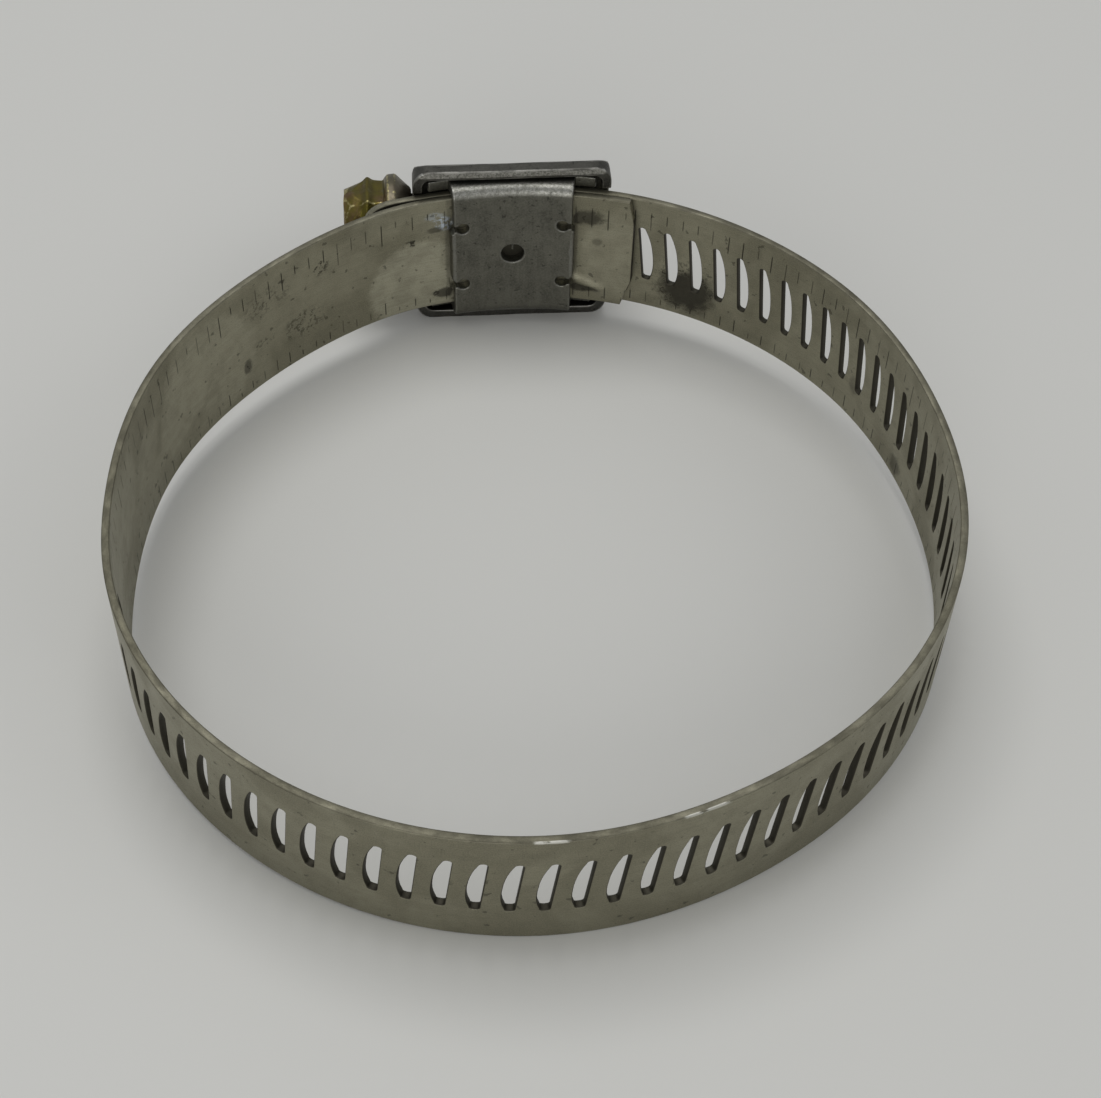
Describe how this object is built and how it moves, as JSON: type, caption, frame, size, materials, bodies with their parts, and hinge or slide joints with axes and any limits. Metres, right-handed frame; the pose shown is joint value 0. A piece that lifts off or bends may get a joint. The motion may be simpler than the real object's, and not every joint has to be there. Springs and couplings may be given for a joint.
{
  "type": "worm-drive hose clamp",
  "caption": "Worm-drive hose clamp: perforated steel band drawn through a stamped housing by a hex-head worm screw.",
  "frame": {"origin": "centre of the clamped hose, at half the band's width", "axes": "+Z along the hose, +Y from the hose's centre towards the screw housing, +X along the screw away from its head"},
  "size_m": [0.07, 0.0805, 0.0178],
  "materials": {
    "band_steel": "satin stainless steel, lightly stained",
    "dark_steel": "satin stainless steel, dull grey",
    "gold_zinc": "satin, yellow passivated zinc plate on steel"
  },
  "bodies": {
    "housing_body": {"housing": "dark_steel", "saddle": "dark_steel", "band_anchored_end": "band_steel"},
    "screw": {"worm_screw": "gold_zinc"},
    "tail": {"band_tail": "band_steel"},
    "slotted_1": {"band_slotted_1": "band_steel"},
    "slotted_2": {"band_slotted_2": "band_steel"},
    "slotted_3": {"band_slotted_3": "band_steel"},
    "slotted_4": {"band_slotted_4": "band_steel"},
    "slotted_5": {"band_slotted_5": "band_steel"},
    "slotted_6": {"band_slotted_6": "band_steel"},
    "slotted_7": {"band_slotted_7": "band_steel"},
    "slotted_8": {"band_slotted_8": "band_steel"},
    "slotted_9": {"band_slotted_9": "band_steel"},
    "plain_1": {"band_plain_1": "band_steel"},
    "plain_2": {"band_plain_2": "band_steel"},
    "plain_3": {"band_plain_3": "band_steel"},
    "plain_4": {"band_plain_4": "band_steel"}
  },
  "joints": [
    {"name": "screw_turn", "type": "hinge", "parent": "housing_body", "child": "screw", "pos_m": [0, 0.04, 0], "axis": [1, 0, 0], "range_deg": [0, 2160]},
    {"name": "band_feed", "type": "hinge", "parent": "housing_body", "child": "tail", "pos_m": [0, 0.0024, 0], "axis": [0, 0, 1], "range_deg": [-1, 27]},
    {"name": "flex_slotted_1", "type": "hinge", "parent": "tail", "child": "slotted_1", "pos_m": [0.02907, 0.0206, 0], "axis": [0, 0, 1], "range_deg": [-2.7, 0.2]},
    {"name": "flex_slotted_2", "type": "hinge", "parent": "slotted_1", "child": "slotted_2", "pos_m": [0.03405, 0.00629, 0], "axis": [0, 0, 1], "range_deg": [-2.2, 0.2]},
    {"name": "flex_slotted_3", "type": "hinge", "parent": "slotted_2", "child": "slotted_3", "pos_m": [0.03348, -0.00882, 0], "axis": [0, 0, 1], "range_deg": [-2.1, 0.2]},
    {"name": "flex_slotted_4", "type": "hinge", "parent": "slotted_3", "child": "slotted_4", "pos_m": [0.02653, -0.02225, 0], "axis": [0, 0, 1], "range_deg": [-2, 0.2]},
    {"name": "flex_slotted_5", "type": "hinge", "parent": "slotted_4", "child": "slotted_5", "pos_m": [0.01453, -0.03143, 0], "axis": [0, 0, 1], "range_deg": [-1.9, 0.2]},
    {"name": "flex_slotted_6", "type": "hinge", "parent": "slotted_5", "child": "slotted_6", "pos_m": [-0.00007, -0.0355, 0], "axis": [0, 0, 1], "range_deg": [-1.9, 0.2]},
    {"name": "flex_slotted_7", "type": "hinge", "parent": "slotted_6", "child": "slotted_7", "pos_m": [-0.01493, -0.03281, 0], "axis": [0, 0, 1], "range_deg": [-1.9, 0.2]},
    {"name": "flex_slotted_8", "type": "hinge", "parent": "slotted_7", "child": "slotted_8", "pos_m": [-0.02706, -0.02381, 0], "axis": [0, 0, 1], "range_deg": [-2, 0.2]},
    {"name": "flex_slotted_9", "type": "hinge", "parent": "slotted_8", "child": "slotted_9", "pos_m": [-0.03389, -0.01032, 0], "axis": [0, 0, 1], "range_deg": [-2.1, 0.2]},
    {"name": "flex_plain_1", "type": "hinge", "parent": "housing_body", "child": "plain_1", "pos_m": [-0.00868, 0.0348, 0], "axis": [0, 0, 1], "range_deg": [-0.2, 2.4]},
    {"name": "flex_plain_2", "type": "hinge", "parent": "plain_1", "child": "plain_2", "pos_m": [-0.01704, 0.03074, 0], "axis": [0, 0, 1], "range_deg": [-0.2, 2.4]},
    {"name": "flex_plain_3", "type": "hinge", "parent": "plain_2", "child": "plain_3", "pos_m": [-0.02361, 0.02532, 0], "axis": [0, 0, 1], "range_deg": [-0.2, 2.4]},
    {"name": "flex_plain_4", "type": "hinge", "parent": "plain_3", "child": "plain_4", "pos_m": [-0.03179, 0.01372, 0], "axis": [0, 0, 1], "range_deg": [-0.2, 2.3]}
  ],
  "couplings": [
    {"joint": "band_feed", "follows": "screw_turn", "ratio": 0.011788},
    {"joint": "flex_slotted_1", "follows": "screw_turn", "ratio": -0.0011158},
    {"joint": "flex_slotted_2", "follows": "screw_turn", "ratio": -0.0009376},
    {"joint": "flex_slotted_3", "follows": "screw_turn", "ratio": -0.00088628},
    {"joint": "flex_slotted_4", "follows": "screw_turn", "ratio": -0.00083736},
    {"joint": "flex_slotted_5", "follows": "screw_turn", "ratio": -0.00080154},
    {"joint": "flex_slotted_6", "follows": "screw_turn", "ratio": -0.00078362},
    {"joint": "flex_slotted_7", "follows": "screw_turn", "ratio": -0.00079028},
    {"joint": "flex_slotted_8", "follows": "screw_turn", "ratio": -0.00082023},
    {"joint": "flex_slotted_9", "follows": "screw_turn", "ratio": -0.0008667},
    {"joint": "flex_plain_1", "follows": "screw_turn", "ratio": 0.0010114},
    {"joint": "flex_plain_2", "follows": "screw_turn", "ratio": 0.001002},
    {"joint": "flex_plain_3", "follows": "screw_turn", "ratio": 0.00098614},
    {"joint": "flex_plain_4", "follows": "screw_turn", "ratio": 0.00094869}
  ]
}
